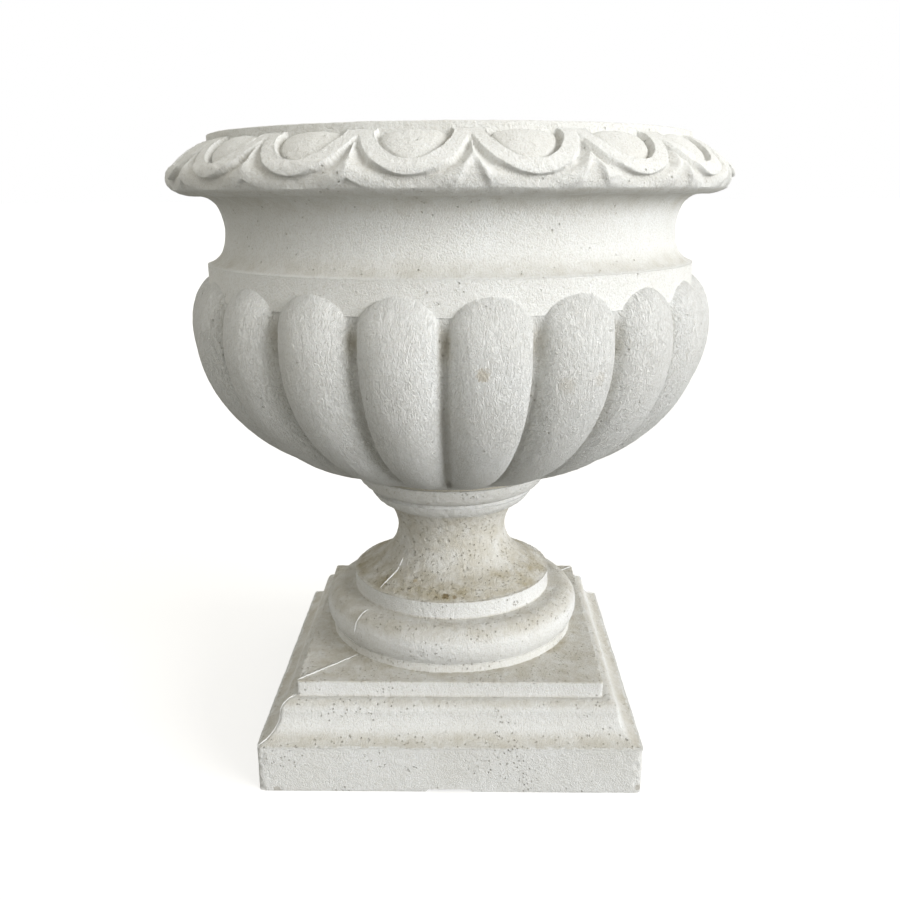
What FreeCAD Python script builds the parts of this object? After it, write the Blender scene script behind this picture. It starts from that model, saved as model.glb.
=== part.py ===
import FreeCAD, Part
import math
import os
import re

import Sketcher
from FreeCAD import Vector

# A garden urn in cast stone: a lobed bowl with an egg-and-dart rim, bedded in mortar on a
# turned pedestal with a square plinth.  Millimetres, +Z up, the origin at the middle of the
# plinth's underside, the plinth's sides parallel to X and Y.  Radii are from the axis.

SIZES = {
    # plinth, from the ground up
    "slab_width": 406,
    "slab_height": 51,
    "shoulder_width": 360,        # across the moulding where its hollow turns upright
    "hollow_height": 28,          # slab top to that level
    "shoulder_height": 11.5,      # that level to the cap's underside
    "cap_width": 328,
    "cap_height": 17.5,
    "notch_width": 45,            # drainage notch under each side
    "notch_height": 3,
    # turned foot
    "fillet_radius": 148,
    "fillet_height": 7.5,
    "torus_radius": 150.5,
    "torus_height": 42.5,
    "disc_radius": 116.5,
    "disc_height": 20.5,
    # stem
    "flare_radius": 113,
    "flare_height": 14.5,
    "throat_radius": 86,
    "throat_height": 36,
    "waist_radius": 64.5,
    "stem_top_radius": 77.5,
    "stem_top_height": 33,        # waist to the stem's top
    # collar under the bowl
    "bead_step": 2,
    "bead_radius": 94,
    "bead_height": 16,
    "bead_turn": 40,              # degrees through which the bead's face turns
    "collar_radius": 113,
    "collar_height": 25,
    "collar_turn": 70,
    # mortar joint
    "joint_height": 3,
    "joint_recess": 1.5,            # how far the mortar is raked back
    # bowl: lobes and the ground between them
    "lobe_count": 20,
    "belly_radius": 284,
    "belly_height": 168,          # bowl underside to its widest level
    "crest_centre": 46.5,         # centre radius of the crest's ellipse
    "ground_centre": -30,         # centre radius of the ground's ellipse
    "belly_relief": 24,
    "base_relief": 10,
    "brow_depth": 34,             # half axes of the crest above the widest level
    "brow_height": 52,
    "valley_share": 0.12,         # part of the circle left between the lobes
    "arch_height": 26,            # rise of each lobe's rounded head
    "root_depth": 8,              # how deep a lobe is rooted in the ground
    # band, neck and rim
    "band_radius": 262,
    "spandrel_height": 24,        # widest level to the band's lower edge
    "spandrel_slope": 7,
    "band_height": 31.5,
    "neck_foot_radius": 246,
    "neck_foot_height": 15.5,
    "neck_foot_turn": 47,
    "neck_height": 42,
    "neck_turn": 45,
    "neck_top_radius": 247,
    "neck_head_radius": 268,
    "neck_head_height": 13,
    "neck_head_turn": 71,
    "rim_under_height": 6,
    "rim_edge_radius": 292,
    "rim_edge_height": 25,
    "rim_edge_turn": 120,
    "rim_break_radius": 291,
    "rim_slope_height": 24,
    "rim_slope_turn": 28,
    "rim_relief": 9,
    "rim_root": 2,
    "lip_radius": 255,
    "lip_height": 6,
    "lip_round": 2,
    # egg-and-dart rim ornament
    "egg_count": 18,
    "egg_phase": -5.2,            # degrees from the front to the nearest egg
    "egg_radius": 42,             # of the ball that the egg is a cap of
    "egg_gap": 4,                 # between the egg and its strap
    "egg_rise": 3,                # from the rim's slope to the egg's crown
    "strap_outer_drop": 39,       # lip's lower edge to the strap's outer tip
    "strap_width": 84,
    "strap_inner_drop": 27,
    "strap_inner_width": 62,
    "dart_height": 26,
    "dart_width": 36,
    # planting well
    "mouth_radius": 212,
    "mouth_round": 6,
    "well_radius": 206,
    "well_floor_radius": 80,
    "well_floor": 38,             # stone under the well
    "well_round_height": 150,
    # core of the pedestal
    "core_width": 300,
    "core_height": 80,
    "core_taper": 20,             # degrees
    # drain pipe
    "pipe_radius": 16,
    "pipe_wall": 2,
    "pipe_clearance": 2,
    "pipe_drop": 10,              # length showing in the pedestal's core
    # reinforcing bars
    "bar_radius": 4,
    "stem_bar_radius": 5,
    "stem_bar_count": 4,
    "stem_bar_circle": 42,
    "bar_cover": 15,
    "rim_hoop_radius": 250,
    "rim_hoop_depth": 38,         # lip's top to the hoop
    "belly_hoop_radius": 233,
    "plinth_bar_offset": 176,     # axis to a bar's centre line
    "plinth_bar_level": 21,
    "plinth_bar_lift": 10,        # lower pair to the upper pair
}

# Levels and shared lengths, written with the names above.
PLINTH_TOP = "(slab_height + hollow_height + shoulder_height + cap_height)"
DISC_TOP = f"({PLINTH_TOP} + fillet_height + torus_height + disc_height)"
WAIST = f"({DISC_TOP} + flare_height + throat_height)"
STEM_TOP = f"({WAIST} + stem_top_height)"
PEDESTAL_TOP = f"({STEM_TOP} + bead_height + collar_height)"
BOWL_BASE = f"({PEDESTAL_TOP} + joint_height)"

# Levels above the bowl's underside.
BAND_FOOT = "(belly_height + spandrel_height + spandrel_slope)"
BAND_TOP = f"({BAND_FOOT} + band_height)"
RIM_FOOT = f"({BAND_TOP} + neck_foot_height + neck_height + neck_head_height)"
RIM_EDGE = f"({RIM_FOOT} + rim_under_height)"
RIM_BREAK = f"({RIM_EDGE} + rim_edge_height)"
LIP_FOOT = f"({RIM_BREAK} + rim_slope_height)"
LIP_TOP = f"({LIP_FOOT} + lip_height)"

# Where the rim's ornament is rooted, just inside the sunk ground round it.
RIM_ROOT = "(lip_radius - rim_relief - rim_root)"

# How a curved stretch of an outline is settled, besides by a turn in degrees.
UPRIGHT_AT_START = "upright at start"
UPRIGHT_AT_END = "upright at end"

doc = FreeCAD.newDocument("urn_planter")
sheet = doc.addObject("Spreadsheet::Sheet", "sizes")
for row, (name, value) in enumerate(SIZES.items(), start=1):
    sheet.set(f"A{row}", name)
    sheet.set(f"B{row}", str(value))
    sheet.setAlias(f"B{row}", name)
doc.recompute()


def formula(text):
    """The text with every size in it pointed at its cell in the sheet."""
    return re.sub(r"[a-z]\w*", lambda word: f"sizes.{word.group()}", text)


def size(text):
    """The present value of a size, or of a formula of sizes."""
    return float(sheet.evalExpression(formula(text)))


def bind(thing, **formulas):
    """Tie an object's properties to formulas of sizes."""
    for name, text in formulas.items():
        thing.setExpression(name, formula(text))


def raise_to(thing, level):
    """Place an object at a level above the ground."""
    thing.setExpression(".Placement.Base.z", formula(level))


# ---------------------------------------------------------------- outlines


def arc_between(start, end, bend):
    """An arc from start to end, and whether it runs anticlockwise from start."""
    chord = end - start
    if bend in (UPRIGHT_AT_START, UPRIGHT_AT_END):
        level = start.y if bend == UPRIGHT_AT_START else end.y
        upright, other = (start, end) if bend == UPRIGHT_AT_START else (end, start)
        reach = ((other.x - upright.x) ** 2 + (other.y - level) ** 2) / (2 * (other.x - upright.x))
        centre = Vector(upright.x + reach, level, 0)
    else:
        half = math.radians(size(bend)) / 2
        across = Vector(-chord.y, chord.x, 0)
        centre = (start + end) / 2 + across / (2 * math.tan(half))
    anticlockwise = (start - centre).cross(end - centre).z > 0
    first, last = (start, end) if anticlockwise else (end, start)
    angles = [math.atan2(point.y - centre.y, point.x - centre.x) for point in (first, last)]
    circle = Part.Circle(centre, Vector(0, 0, 1), (start - centre).Length)
    return Part.ArcOfCircle(circle, *angles), anticlockwise


def pin(sketch, piece, end, index, x, y):
    """Hold one end of a piece of the outline at a point given by two formulas."""
    for axis, kind, line, text in (("x", "DistanceX", -2, x), ("y", "DistanceY", -1, y)):
        if text == "0":
            sketch.addConstraint(Sketcher.Constraint("PointOnObject", piece, end, line))
            continue
        sketch.addConstraint(Sketcher.Constraint(kind, -1, 1, piece, end, size(text)))
        name = f"{axis}{index}"
        sketch.renameConstraint(sketch.ConstraintCount - 1, name)
        sketch.setExpression(f"Constraints.{name}", formula(text))


def draw(sketch, outline):
    """Draw a closed outline.  Each entry is a corner, x and y as formulas, and perhaps how
    the stretch that leads to it is bent."""
    corners = [Vector(size(entry[0]), size(entry[1]), 0) for entry in outline]
    ends = []
    for index, entry in enumerate(outline):
        start, end = corners[index - 1], corners[index]
        forward = True
        if len(entry) == 2:
            piece = sketch.addGeometry(Part.LineSegment(start, end))
        else:
            arc, forward = arc_between(start, end, entry[2])
            piece = sketch.addGeometry(arc)
        ends.append((piece, 1, 2) if forward else (piece, 2, 1))
    for index, entry in enumerate(outline):
        piece, first, last = ends[index]
        sketch.addConstraint(Sketcher.Constraint("Coincident", ends[index - 1][0], ends[index - 1][2],
                                                 piece, first))
        pin(sketch, piece, last, index, entry[0], entry[1])
        if len(entry) == 2:
            continue
        if entry[2] in (UPRIGHT_AT_START, UPRIGHT_AT_END):
            upright = first if entry[2] == UPRIGHT_AT_START else last
            sketch.addConstraint(Sketcher.Constraint("Horizontal", piece, 3, piece, upright))
        else:
            sketch.addConstraint(Sketcher.Constraint("Angle", piece, math.radians(abs(size(entry[2])))))
            name = f"turn{index}"
            sketch.renameConstraint(sketch.ConstraintCount - 1, name)
            sketch.setExpression(f"Constraints.{name}", f"abs({formula(entry[2])}) * 1 deg")


def mirrored(half):
    """A whole outline from the half on the +x side, listed upward without its bends' ends
    on the axis."""
    swap = {UPRIGHT_AT_START: UPRIGHT_AT_END, UPRIGHT_AT_END: UPRIGHT_AT_START}
    other = []
    for index in range(len(half) - 1, -1, -1):
        bend = half[index + 1][2:] if index + 1 < len(half) else ()
        other.append((f"-({half[index][0]})", half[index][1], *(swap[kind] for kind in bend)))
    return half + other


def new_sketch(body, name, plane):
    """An empty sketch on one of a body's own origin planes."""
    sketch = body.newObject("Sketcher::SketchObject", name)
    origin_plane = next(item for item in body.Origin.OriginFeatures if item.Role == plane)
    sketch.AttachmentSupport = (origin_plane, "")
    sketch.MapMode = "FlatFace"
    return sketch


def turned(name, outline):
    """A body turned round the axis from an outline in the XZ plane."""
    body = doc.addObject("PartDesign::Body", name)
    sketch = new_sketch(body, f"{name}Outline", "XZ_Plane")
    draw(sketch, outline)
    revolution = body.newObject("PartDesign::Revolution", f"{name}Turned")
    revolution.Profile = sketch
    revolution.ReferenceAxis = (sketch, ["V_Axis"])
    revolution.Angle = 360
    return body


def fuse(name, pieces):
    """One solid from several."""
    joined = doc.addObject("Part::MultiFuse", name)
    joined.Shapes = pieces
    return joined


def cut(name, solid, hollows):
    """A solid with hollows taken out of it."""
    result = doc.addObject("Part::Cut", name)
    result.Base = solid
    result.Tool = fuse(f"{name}Hollows", hollows)
    return result


# ---------------------------------------------------------------- pedestal


def plinth_prism(name, plane):
    """The plinth's moulded outline, extruded as far as the plinth is wide."""
    half = [
        ("slab_width / 2", "0"),
        ("slab_width / 2", "slab_height"),
        ("shoulder_width / 2", "slab_height + hollow_height", UPRIGHT_AT_END),
        ("cap_width / 2", "slab_height + hollow_height + shoulder_height", UPRIGHT_AT_START),
        ("cap_width / 2", PLINTH_TOP),
    ]
    body = doc.addObject("PartDesign::Body", name)
    sketch = new_sketch(body, f"{name}Outline", plane)
    draw(sketch, mirrored(half))
    pad = body.newObject("PartDesign::Pad", f"{name}Pad")
    pad.Profile = sketch
    pad.SideType = "Symmetric"
    bind(pad, Length="slab_width")
    return body


def plinth_block():
    """The square plinth: where its two crossing prisms meet, the moulding is mitred."""
    block = doc.addObject("Part::MultiCommon", "PlinthBlock")
    block.Shapes = [plinth_prism("PlinthAlongY", "XZ_Plane"), plinth_prism("PlinthAlongX", "YZ_Plane")]
    return block


def turned_foot():
    """Everything of the pedestal above the plinth, rooted as deep as the plinth's cap."""
    torus_foot = f"{PLINTH_TOP} + fillet_height"
    torus_inner = "torus_radius - torus_height / 2"
    return turned("TurnedFoot", [
        ("0", f"{PLINTH_TOP} - cap_height"),
        ("fillet_radius", f"{PLINTH_TOP} - cap_height"),
        ("fillet_radius", torus_foot),
        (torus_inner, torus_foot),
        ("torus_radius", f"{torus_foot} + torus_height / 2", UPRIGHT_AT_END),
        (torus_inner, f"{torus_foot} + torus_height", UPRIGHT_AT_START),
        ("disc_radius", f"{torus_foot} + torus_height"),
        ("disc_radius", DISC_TOP),
        ("flare_radius", DISC_TOP),
        ("throat_radius", f"{DISC_TOP} + flare_height"),
        ("waist_radius", WAIST, UPRIGHT_AT_END),
        ("stem_top_radius", STEM_TOP, UPRIGHT_AT_START),
        ("stem_top_radius + bead_step", STEM_TOP),
        ("bead_radius", f"{STEM_TOP} + bead_height", "bead_turn"),
        ("collar_radius", PEDESTAL_TOP, "collar_turn"),
        ("0", PEDESTAL_TOP),
    ])


def pedestal_core():
    """The tapered hollow under the pedestal."""
    body = doc.addObject("PartDesign::Body", "PedestalCore")
    sketch = new_sketch(body, "PedestalCoreOutline", "XY_Plane")
    side = "core_width / 2"
    draw(sketch, [(side, f"-{side}"), (side, side), (f"-{side}", side), (f"-{side}", f"-{side}")])
    pad = body.newObject("PartDesign::Pad", "PedestalCorePad")
    pad.Profile = sketch
    bind(pad, Length="core_height")
    pad.setExpression("TaperAngle", f"-{formula('core_taper')} * 1 deg")
    return body


def pipe_duct():
    """The duct that the drain pipe runs down."""
    duct = doc.addObject("Part::Cylinder", "PipeDuct")
    bind(duct, Radius="pipe_radius + pipe_clearance", Height=f"{PEDESTAL_TOP} - core_height / 2")
    raise_to(duct, "core_height / 2")
    return duct


def drain_notch(name, length, width):
    """A shallow notch right across the plinth's underside."""
    notch = doc.addObject("Part::Box", name)
    bind(notch, Length=length, Width=width, Height="notch_height")
    notch.setExpression(".Placement.Base.x", formula(f"-({length}) / 2"))
    notch.setExpression(".Placement.Base.y", formula(f"-({width}) / 2"))
    return notch


def plinth_bars():
    """Two pairs of straight bars in the plinth's slab, one pair crossing over the other."""
    bars = []
    start = "-(slab_width / 2 - bar_cover)"
    along_x = FreeCAD.Rotation(Vector(0, 1, 0), 90)
    along_y = FreeCAD.Rotation(Vector(1, 0, 0), -90)
    for side in (-1, 1):
        across = f"{side} * plinth_bar_offset"
        lower = (along_x, start, across, "plinth_bar_level")
        upper = (along_y, across, start, "plinth_bar_level + plinth_bar_lift")
        for turn, x, y, level in (lower, upper):
            bar = doc.addObject("Part::Cylinder", f"PlinthBar{len(bars) + 1}")
            bind(bar, Radius="bar_radius", Height="slab_width - 2 * bar_cover")
            bar.Placement = FreeCAD.Placement(Vector(0, 0, 0), turn)
            bar.setExpression(".Placement.Base.x", formula(x))
            bar.setExpression(".Placement.Base.y", formula(y))
            raise_to(bar, level)
            bars.append(bar)
    group = doc.addObject("Part::Compound", "plinth_bars")
    group.Links = bars
    return group


def stem_bars():
    """Upright bars round the duct, tying the stem to the foot and the collar."""
    bars = []
    count = round(size("stem_bar_count"))
    for index in range(count):
        bar = doc.addObject("Part::Cylinder", f"StemBar{index + 1}")
        foot = "core_height + bar_cover"
        bind(bar, Radius="stem_bar_radius", Height=f"{PEDESTAL_TOP} - bar_cover - ({foot})")
        direction = math.radians((index + 0.5) * 360 / count)
        bar.setExpression(".Placement.Base.x", f"{formula('stem_bar_circle')} * {math.cos(direction)}")
        bar.setExpression(".Placement.Base.y", f"{formula('stem_bar_circle')} * {math.sin(direction)}")
        raise_to(bar, foot)
        bars.append(bar)
    group = doc.addObject("Part::Compound", "stem_bars")
    group.Links = bars
    return group


def pedestal(slab_bars, upright_bars):
    """The pedestal casting, with the bars' places left open in it."""
    stone = fuse("PedestalStone", [plinth_block(), turned_foot()])
    hollows = [
        pedestal_core(),
        pipe_duct(),
        drain_notch("NotchAlongX", "slab_width", "notch_width"),
        drain_notch("NotchAlongY", "notch_width", "slab_width"),
        slab_bars,
        upright_bars,
    ]
    return cut("pedestal", stone, hollows)


# ---------------------------------------------------------------- bowl


def ellipse_reach(centre, widest, base):
    """How far below the widest level an ellipse ends that passes through the base radius."""
    share = (base - centre) / (widest - centre)
    return size("belly_height") / math.sqrt(1 - share * share)


def ground_below_belly():
    """The turned ground between the lobes, from the underside to the widest level."""
    centre = size("ground_centre")
    widest = size("belly_radius - belly_relief")
    base = size("collar_radius - base_relief")
    level = size("belly_height")
    reach = ellipse_reach(centre, widest, base)
    middle = Vector(centre, 0, level)
    ellipse = Part.Ellipse(middle + Vector(widest - centre, 0, 0), middle + Vector(0, 0, reach), middle)
    points = [Vector(base, 0, 0), Vector(widest, 0, level)]
    spans = sorted(ellipse.parameter(point) for point in points)
    if spans[1] - spans[0] > math.pi:
        spans = [spans[1] - 2 * math.pi, spans[0]]
    curve = Part.ArcOfEllipse(ellipse, *spans).toShape()
    corners = [points[1], Vector(0, 0, level), Vector(0, 0, 0), points[0]]
    face = Part.Face(Part.Wire(Part.sortEdges([curve, *Part.makePolygon(corners).Edges])[0]))
    ground = doc.addObject("Part::Feature", "GroundBelowBelly")
    ground.Shape = face.revolve(Vector(0, 0, 0), Vector(0, 0, 1), 360)
    raise_to(ground, BOWL_BASE)
    return ground


def turned_bowl():
    """The bowl above its widest level: ground, band, neck, rim and lip."""
    relief = "rim_relief"
    return turned("TurnedBowl", [
        ("0", "belly_height"),
        ("belly_radius - belly_relief", "belly_height"),
        ("belly_radius - belly_relief", "belly_height + spandrel_height"),
        ("band_radius", BAND_FOOT),
        ("band_radius", BAND_TOP),
        ("neck_foot_radius", f"{BAND_TOP} + neck_foot_height", "-neck_foot_turn"),
        ("neck_top_radius", f"{BAND_TOP} + neck_foot_height + neck_height", "-neck_turn"),
        ("neck_head_radius", RIM_FOOT, "-neck_head_turn"),
        (f"rim_edge_radius - {relief}", RIM_EDGE),
        (f"rim_break_radius - {relief}", f"{RIM_BREAK} - {relief} / 2", "rim_edge_turn"),
        (f"lip_radius - {relief}", f"{LIP_FOOT} - {relief}", "rim_slope_turn"),
        (f"lip_radius - {relief}", f"{LIP_FOOT}"),
        ("lip_radius", LIP_FOOT),
        ("lip_radius", f"{LIP_TOP} - lip_round"),
        ("lip_radius - lip_round", LIP_TOP, UPRIGHT_AT_START),
        ("0", LIP_TOP),
    ])


def lobe_sections():
    """Level, crest radius, root radius and half width in degrees, from the foot to the head."""
    belly = size("belly_radius")
    level = size("belly_height")
    crest_centre = size("crest_centre")
    ground_centre = size("ground_centre")
    ground_belly = belly - size("belly_relief")
    root_depth = size("root_depth")
    crest_reach = ellipse_reach(crest_centre, belly, size("collar_radius"))
    ground_reach = ellipse_reach(ground_centre, ground_belly, size("collar_radius - base_relief"))
    widest = 180 / round(size("lobe_count")) * (1 - size("valley_share"))
    low_steps = 7
    sections = []
    lowest = math.asin(level / crest_reach)
    for step in range(low_steps):
        angle = lowest * (1 - step / low_steps)
        down = crest_reach * math.sin(angle)
        crest = crest_centre + (belly - crest_centre) * math.cos(angle)
        ground = ground_centre + (ground_belly - ground_centre) * math.sqrt(1 - (down / ground_reach) ** 2)
        sections.append((level - down, crest, ground - root_depth, widest))
    brow_depth = size("brow_depth")
    brow_height = size("brow_height")
    brow_centre = belly - brow_depth
    root = ground_belly - root_depth
    highest = math.acos((root - brow_centre) / brow_depth)
    head = brow_height * math.sin(highest)
    spring = head - size("arch_height")
    high_steps = 6
    for step in range(high_steps):
        angle = highest * (1 - (1 - step / high_steps) ** 1.5)
        up = brow_height * math.sin(angle)
        rise = max(0, (up - spring) / (head - spring))
        crest = brow_centre + brow_depth * math.cos(angle)
        sections.append((level + up, crest, root, widest * math.sqrt(1 - rise * rise)))
    return sections


def lobe_outline(level, crest, root, half_width):
    """A level slice of a lobe: a full, rounded front and a straight back."""
    steps = 8
    fullness = 2.3
    front = []
    for step in range(steps + 1):
        share = math.sin(math.radians(90 * (2 * step / steps - 1)))
        radius = root + (crest - root) * (1 - abs(share) ** fullness) ** 0.5
        angle = math.radians(share * half_width)
        front.append(Vector(radius * math.cos(angle), radius * math.sin(angle), level))
    curve = Part.BSplineCurve()
    curve.interpolate(front)
    return Part.Wire([curve.toShape(), Part.makeLine(front[-1], front[0])])


def lobes():
    """The ring of lobes, each lofted from its foot to its arched head."""
    outlines = [lobe_outline(*section) for section in lobe_sections()]
    lobe = Part.makeLoft(outlines, True)
    count = round(size("lobe_count"))
    ring = []
    for index in range(count):
        copy = lobe.copy()
        copy.rotate(Vector(0, 0, 0), Vector(0, 0, 1), (index + 0.5) * 360 / count - 90)
        ring.append(copy)
    feature = doc.addObject("Part::Feature", "Lobes")
    feature.Shape = Part.makeCompound(ring)
    raise_to(feature, BOWL_BASE)
    return feature


def rim_envelope():
    """The ring that the faces of the rim's ornament lie on."""
    return turned("RimEnvelope", [
        (RIM_ROOT, RIM_EDGE),
        ("rim_edge_radius", RIM_EDGE),
        ("rim_break_radius", RIM_BREAK, "rim_edge_turn"),
        ("lip_radius", LIP_FOOT, "rim_slope_turn"),
        (RIM_ROOT, LIP_FOOT),
    ])


def outward_prism(outline):
    """A flat outline facing +X, carried outward through the rim."""
    start = size(RIM_ROOT)
    length = size("rim_edge_radius") + size("rim_edge_height") - start
    face = Part.Face(outline)
    face.translate(Vector(start, 0, 0))
    return face.extrude(Vector(length, 0, 0))


def cup_outline(width, top, drop):
    """A cup's outline facing +X: short straight sides and a round foot."""
    straight = drop / 4
    left, tip, right = [
        Vector(0, -width / 2, top - straight),
        Vector(0, 0, top - drop),
        Vector(0, width / 2, top - straight),
    ]
    upright = Vector(0, 0, straight)
    sides = Part.makePolygon([right, right + upright, left + upright, left])
    return Part.Wire([Part.Arc(left, tip, right).toShape(), *sides.Edges])


def rim_strap(top):
    """The flat strap that runs round an egg."""
    outer = outward_prism(cup_outline(size("strap_width"), top, size("strap_outer_drop")))
    inner = outward_prism(cup_outline(size("strap_inner_width"), top, size("strap_inner_drop")))
    return outer.cut(inner)


def rim_dart(foot):
    """The three-cornered dart between two straps."""
    half = size("dart_width") / 2
    corners = [Vector(0, 0, foot + size("dart_height")), Vector(0, -half, foot), Vector(0, half, foot)]
    return outward_prism(Part.makePolygon([*corners, corners[0]]))


def rim_egg(top):
    """The egg: the cap of a ball sunk in the rim's slope, with a gap left round it."""
    slope = Vector(size("lip_radius - rim_break_radius"), 0, size("rim_slope_height"))
    outward = Vector(slope.z, 0, -slope.x).normalize()
    crown = Vector(size("lip_radius"), 0, top) - slope / 2 + outward * size("egg_rise")
    radius = size("egg_radius")
    width = size("strap_inner_width - 2 * egg_gap")
    outline = cup_outline(width, top, size("strap_inner_drop - egg_gap"))
    return outward_prism(outline).common(Part.makeSphere(radius, crown - outward * radius))


def rim_ornament():
    """Eggs, straps and darts, all round the rim."""
    envelope = rim_envelope()
    doc.recompute()
    top = size(LIP_FOOT)
    count = round(size("egg_count"))
    pitch = 360 / count
    faced = [piece.common(envelope.Shape) for piece in (rim_strap(top), rim_egg(top))]
    dart = rim_dart(size(RIM_EDGE)).common(envelope.Shape)
    dart.rotate(Vector(0, 0, 0), Vector(0, 0, 1), pitch / 2)
    pieces = []
    for index in range(count):
        for piece in [*faced, dart]:
            copy = piece.copy()
            copy.rotate(Vector(0, 0, 0), Vector(0, 0, 1), index * pitch + size("egg_phase") - 90)
            pieces.append(copy)
    ornament = doc.addObject("Part::Feature", "RimOrnament")
    ornament.Shape = Part.makeCompound(pieces)
    raise_to(ornament, BOWL_BASE)
    return ornament


def bowl_well():
    """The planting well, open at the top, and the hole in its floor for the drain pipe."""
    well = turned("BowlWell", [
        ("0", "-well_floor"),
        ("pipe_radius", "-well_floor"),
        ("pipe_radius", "well_floor"),
        ("well_floor_radius", "well_floor"),
        ("well_radius", "well_floor + well_round_height", UPRIGHT_AT_END),
        ("mouth_radius", f"{LIP_TOP} - mouth_round"),
        ("mouth_radius + mouth_round", LIP_TOP, UPRIGHT_AT_START),
        ("mouth_radius + mouth_round", f"{LIP_TOP} + mouth_round"),
        ("0", f"{LIP_TOP} + mouth_round"),
    ])
    raise_to(well, BOWL_BASE)
    return well


def round_hoop(name, radius, level):
    """A closed ring of round bar, lying level."""
    hoop = doc.addObject("Part::Torus", name)
    bind(hoop, Radius1=radius, Radius2="bar_radius")
    raise_to(hoop, level)
    return hoop


def bowl(hoops):
    """The bowl casting, with the hoops' places left open in it."""
    rim_and_neck = turned_bowl()
    raise_to(rim_and_neck, BOWL_BASE)
    stone = fuse("BowlStone", [rim_and_neck, ground_below_belly(), lobes(), rim_ornament()])
    return cut("bowl", stone, [bowl_well(), *hoops])


# ---------------------------------------------------------------- joint and drain


def ring_outline(sketch, outer, inner):
    """Two circles round the origin."""
    for name, radius in (("outer", outer), ("inner", inner)):
        circle = sketch.addGeometry(Part.Circle(Vector(0, 0, 0), Vector(0, 0, 1), size(radius)))
        sketch.addConstraint(Sketcher.Constraint("Coincident", circle, 3, -1, 1))
        sketch.addConstraint(Sketcher.Constraint("Radius", circle, size(radius)))
        sketch.renameConstraint(sketch.ConstraintCount - 1, name)
        sketch.setExpression(f"Constraints.{name}", formula(radius))


def ring(name, outer, inner, height, level):
    """A straight ring between two radii."""
    body = doc.addObject("PartDesign::Body", name)
    sketch = new_sketch(body, f"{name}Outline", "XY_Plane")
    ring_outline(sketch, outer, inner)
    pad = body.newObject("PartDesign::Pad", f"{name}Pad")
    pad.Profile = sketch
    bind(pad, Length=height)
    raise_to(body, level)
    return body


def mortar_bed():
    """The ring of mortar that the bowl is bedded in, raked back from the collar's face."""
    inner = "pipe_radius + pipe_clearance"
    return ring("mortar_bed", "collar_radius - joint_recess", inner, "joint_height", PEDESTAL_TOP)


def drain_pipe():
    """The pipe from the well's floor to the hollow in the pedestal."""
    foot = "core_height - pipe_drop"
    length = f"{BOWL_BASE} + well_floor - ({foot})"
    return ring("drain_pipe", "pipe_radius", "pipe_radius - pipe_wall", length, foot)


# ---------------------------------------------------------------- the urn

bars_in_plinth = plinth_bars()
bars_in_stem = stem_bars()
hoop_in_rim = round_hoop("rim_hoop", "rim_hoop_radius", f"{BOWL_BASE} + {LIP_TOP} - rim_hoop_depth")
hoop_in_belly = round_hoop("belly_hoop", "belly_hoop_radius", f"{BOWL_BASE} + belly_height")
parts = [
    pedestal(bars_in_plinth, bars_in_stem),
    bars_in_plinth,
    bars_in_stem,
    mortar_bed(),
    drain_pipe(),
    bowl([hoop_in_rim, hoop_in_belly]),
    hoop_in_rim,
    hoop_in_belly,
]
doc.recompute()

failed = [item.Name for item in doc.Objects if {"Invalid", "Error"} & set(item.State)]
if failed:
    raise RuntimeError(f"not built: {failed}")
for part in parts:
    if part.Shape.isNull() or not part.Shape.isValid():
        raise RuntimeError(f"{part.Name} has no valid shape")

os.makedirs("parts", exist_ok=True)
for part in parts:
    part.Label = part.Name
    part.Shape.exportStep(f"parts/{part.Label}.step")
    print(part.Label, len(part.Shape.Solids), "solids", round(part.Shape.Volume / 1000), "cm3")
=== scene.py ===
import math

import bpy
import numpy as np
from mathutils import Euler, Matrix, Vector, noise

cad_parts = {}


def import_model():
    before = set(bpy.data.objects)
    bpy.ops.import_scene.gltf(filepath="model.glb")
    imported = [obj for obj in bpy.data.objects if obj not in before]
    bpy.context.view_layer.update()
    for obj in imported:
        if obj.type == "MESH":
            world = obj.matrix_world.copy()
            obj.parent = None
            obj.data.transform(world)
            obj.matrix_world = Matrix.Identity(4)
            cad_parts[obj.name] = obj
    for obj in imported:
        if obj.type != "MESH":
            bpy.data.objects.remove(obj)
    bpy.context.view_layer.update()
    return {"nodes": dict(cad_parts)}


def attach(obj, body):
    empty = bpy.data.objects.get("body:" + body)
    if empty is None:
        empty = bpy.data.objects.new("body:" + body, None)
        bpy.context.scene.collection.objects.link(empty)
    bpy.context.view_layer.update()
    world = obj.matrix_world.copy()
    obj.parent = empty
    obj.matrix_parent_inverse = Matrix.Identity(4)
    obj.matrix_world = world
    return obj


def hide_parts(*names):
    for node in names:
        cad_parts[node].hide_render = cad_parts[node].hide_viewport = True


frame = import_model()

# Lengths are in millimetres and angles in degrees until a mesh is made.
# Pairs are (radius, z), or (half width, z) on the square plinth.
# theta is measured from the front of the plinth (-Y) towards +X.
MM = 0.001

# The joint between bowl and pedestal, and the drain through both.
BOWL_BASE = 306
JOINT_TOP = 305.3
JOINT_FOOT = 304
DRAIN_RADIUS = 18

# Lobes. Their crest and the ground between them follow ellipses about the belly, the widest
# level: each CENTRE is an ellipse's centre radius, and each DROP its half height.
LOBES = 20
LOBE_PITCH = 360 / LOBES
LOBE_HALF = 8.3
BELLY_Z = 474
BELLY_CREST = 284
BROW_DEPTH = 34
BROW_HEIGHT = 55
CREST_CENTRE = 46.5
CREST_DROP = 175
BELLY_GROUND = 260
GROUND_CENTRE = -30
GROUND_DROP = 189
GULLY_DEPTH = 2.5
FOOT_RADIUS = 114
ARCH_SPRING = 495
ARCH_TOP = 525.5

# Band and hollow neck.
BAND_RADIUS = 262
BAND_FOOT = 506
BAND_TOP = 539
NECK_FOOT = (246, 552)
NECK_TOP = (247, 594)
RIM_ROOT = (268, 607)

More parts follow.
